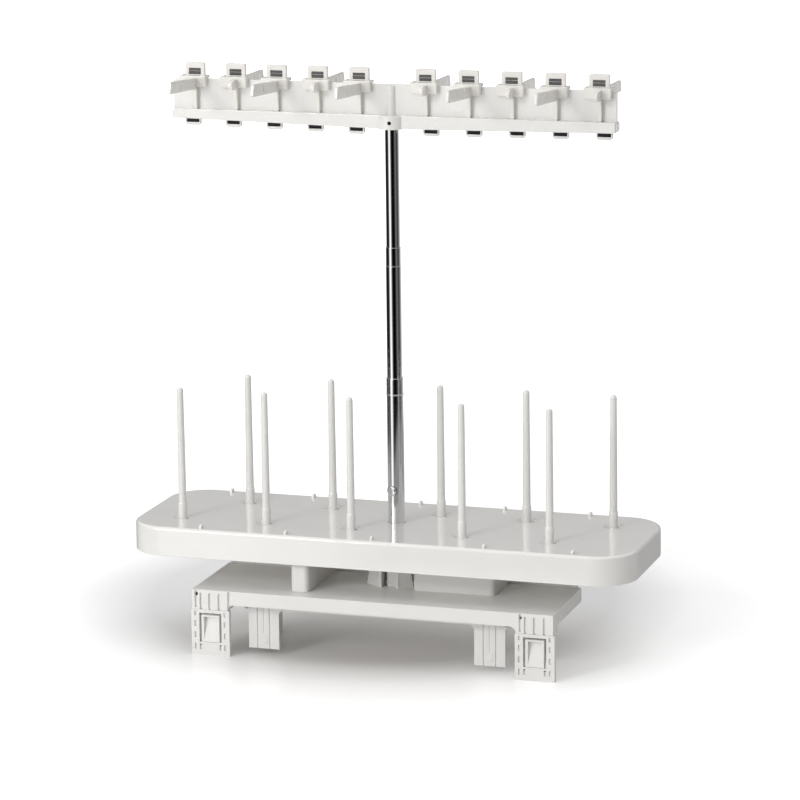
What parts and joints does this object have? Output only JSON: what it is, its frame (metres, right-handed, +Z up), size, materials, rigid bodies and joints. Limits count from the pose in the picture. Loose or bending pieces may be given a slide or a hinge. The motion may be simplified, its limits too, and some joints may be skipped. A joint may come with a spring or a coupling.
{
  "type": "thread rack",
  "caption": "Thread rack for a sewing machine: a clip-on tray of upright spool pins and a telescopic mast that holds a bar of thread guides above them.",
  "frame": {"origin": "on the surface the legs stand on, straight below the mast axis; the bounding box is centred on it, but for 2.6 mm towards the front", "axes": "+X along the tray to the right, +Y to the back, +Z up along the mast"},
  "size_m": [0.4072, 0.1348, 0.4566],
  "materials": {
    "white_gloss": "gloss",
    "white_satin": "satin",
    "chrome_tube": "polished",
    "steel": "satin",
    "dark_plastic": "matte",
    "dark_screw": "satin"
  },
  "bodies": {
    "stand": {"tray": "white_gloss", "base_platform": "white_satin", "inner_bracket": "white_satin", "left_riser": "white_satin", "right_riser": "white_satin", "mast_socket": "white_satin", "left_clip_leg": "white_satin", "right_clip_leg": "white_satin", "mast_spigot": "steel", "lower_tube": "chrome_tube", "tray_screws": "steel", "socket_screws": "steel", "bracket_screws": "steel", "clip_screws": "steel", "button_spring": "steel"},
    "mast_foot": {"middle_glide": "dark_plastic"},
    "mast_middle": {"middle_tube": "chrome_tube"},
    "guide_head": {"upper_tube": "chrome_tube", "upper_glide": "dark_plastic", "guide_bar": "white_gloss", "hub_screw": "dark_screw", "thread_guide_1": "white_gloss", "thread_guide_2": "white_gloss", "thread_guide_3": "white_gloss", "thread_guide_4": "white_gloss", "thread_guide_5": "white_gloss", "thread_guide_6": "white_gloss", "thread_guide_7": "white_gloss", "thread_guide_8": "white_gloss", "thread_guide_9": "white_gloss", "thread_guide_10": "white_gloss", "brake_pads": "dark_plastic", "lower_eyelets": "dark_plastic"},
    "mast_button": {"mast_button": "chrome_tube"},
    "left_latch": {"left_latch": "white_satin"},
    "right_latch": {"right_latch": "white_satin"},
    "spool_pin_1": {"spool_pin_1": "white_gloss"},
    "spool_pin_2": {"spool_pin_2": "white_gloss"},
    "spool_pin_3": {"spool_pin_3": "white_gloss"},
    "spool_pin_4": {"spool_pin_4": "white_gloss"},
    "spool_pin_5": {"spool_pin_5": "white_gloss"},
    "spool_pin_6": {"spool_pin_6": "white_gloss"},
    "spool_pin_7": {"spool_pin_7": "white_gloss"},
    "spool_pin_8": {"spool_pin_8": "white_gloss"},
    "spool_pin_9": {"spool_pin_9": "white_gloss"},
    "spool_pin_10": {"spool_pin_10": "white_gloss"}
  },
  "joints": [
    {"name": "mast_lower_slide", "type": "slide", "parent": "stand", "child": "mast_foot", "axis": [0, 0, -1], "range_m": [0, 0.058]},
    {"name": "mast_turn", "type": "hinge", "parent": "mast_foot", "child": "mast_middle", "pos_m": [0, 0, 0.25], "axis": [0, 0, 1], "continuous": true},
    {"name": "mast_upper_slide", "type": "slide", "parent": "mast_middle", "child": "guide_head", "axis": [0, 0, -1], "range_m": [0, 0.091]},
    {"name": "mast_button_press", "type": "slide", "parent": "stand", "child": "mast_button", "axis": [0.2504, 0.9681, 0], "range_m": [0, 0.0022], "stiffness_N_per_m": 500, "springref_m": -0.001, "deforming": ["button_spring"]},
    {"name": "left_latch_flex", "type": "hinge", "parent": "stand", "child": "left_latch", "pos_m": [-0.1315, -0.0671, 0.0096], "axis": [1, 0, 0], "range_deg": [-6, 2], "stiffness_Nm_per_rad": 0.4},
    {"name": "right_latch_flex", "type": "hinge", "parent": "stand", "child": "right_latch", "pos_m": [0.1315, -0.0671, 0.0096], "axis": [1, 0, 0], "range_deg": [-6, 2], "stiffness_Nm_per_rad": 0.4},
    {"name": "spool_pin_1_turn", "type": "hinge", "parent": "stand", "child": "spool_pin_1", "pos_m": [-0.1676, -0.02975, 0.0995], "axis": [0, 0, 1], "range_deg": [0, 90]},
    {"name": "spool_pin_2_turn", "type": "hinge", "parent": "stand", "child": "spool_pin_2", "pos_m": [-0.1326, 0.02975, 0.0995], "axis": [0, 0, 1], "range_deg": [0, 90]},
    {"name": "spool_pin_3_turn", "type": "hinge", "parent": "stand", "child": "spool_pin_3", "pos_m": [-0.0976, -0.02975, 0.0995], "axis": [0, 0, 1], "range_deg": [0, 90]},
    {"name": "spool_pin_4_turn", "type": "hinge", "parent": "stand", "child": "spool_pin_4", "pos_m": [-0.0626, 0.02975, 0.0995], "axis": [0, 0, 1], "range_deg": [0, 90]},
    {"name": "spool_pin_5_turn", "type": "hinge", "parent": "stand", "child": "spool_pin_5", "pos_m": [-0.0276, -0.02975, 0.0995], "axis": [0, 0, 1], "range_deg": [0, 90]},
    {"name": "spool_pin_6_turn", "type": "hinge", "parent": "stand", "child": "spool_pin_6", "pos_m": [0.0276, 0.02975, 0.0995], "axis": [0, 0, 1], "range_deg": [0, 90]},
    {"name": "spool_pin_7_turn", "type": "hinge", "parent": "stand", "child": "spool_pin_7", "pos_m": [0.0626, -0.02975, 0.0995], "axis": [0, 0, 1], "range_deg": [0, 90]},
    {"name": "spool_pin_8_turn", "type": "hinge", "parent": "stand", "child": "spool_pin_8", "pos_m": [0.0976, 0.02975, 0.0995], "axis": [0, 0, 1], "range_deg": [0, 90]},
    {"name": "spool_pin_9_turn", "type": "hinge", "parent": "stand", "child": "spool_pin_9", "pos_m": [0.1326, -0.02975, 0.0995], "axis": [0, 0, 1], "range_deg": [0, 90]},
    {"name": "spool_pin_10_turn", "type": "hinge", "parent": "stand", "child": "spool_pin_10", "pos_m": [0.1676, 0.02975, 0.0995], "axis": [0, 0, 1], "range_deg": [0, 90]}
  ]
}
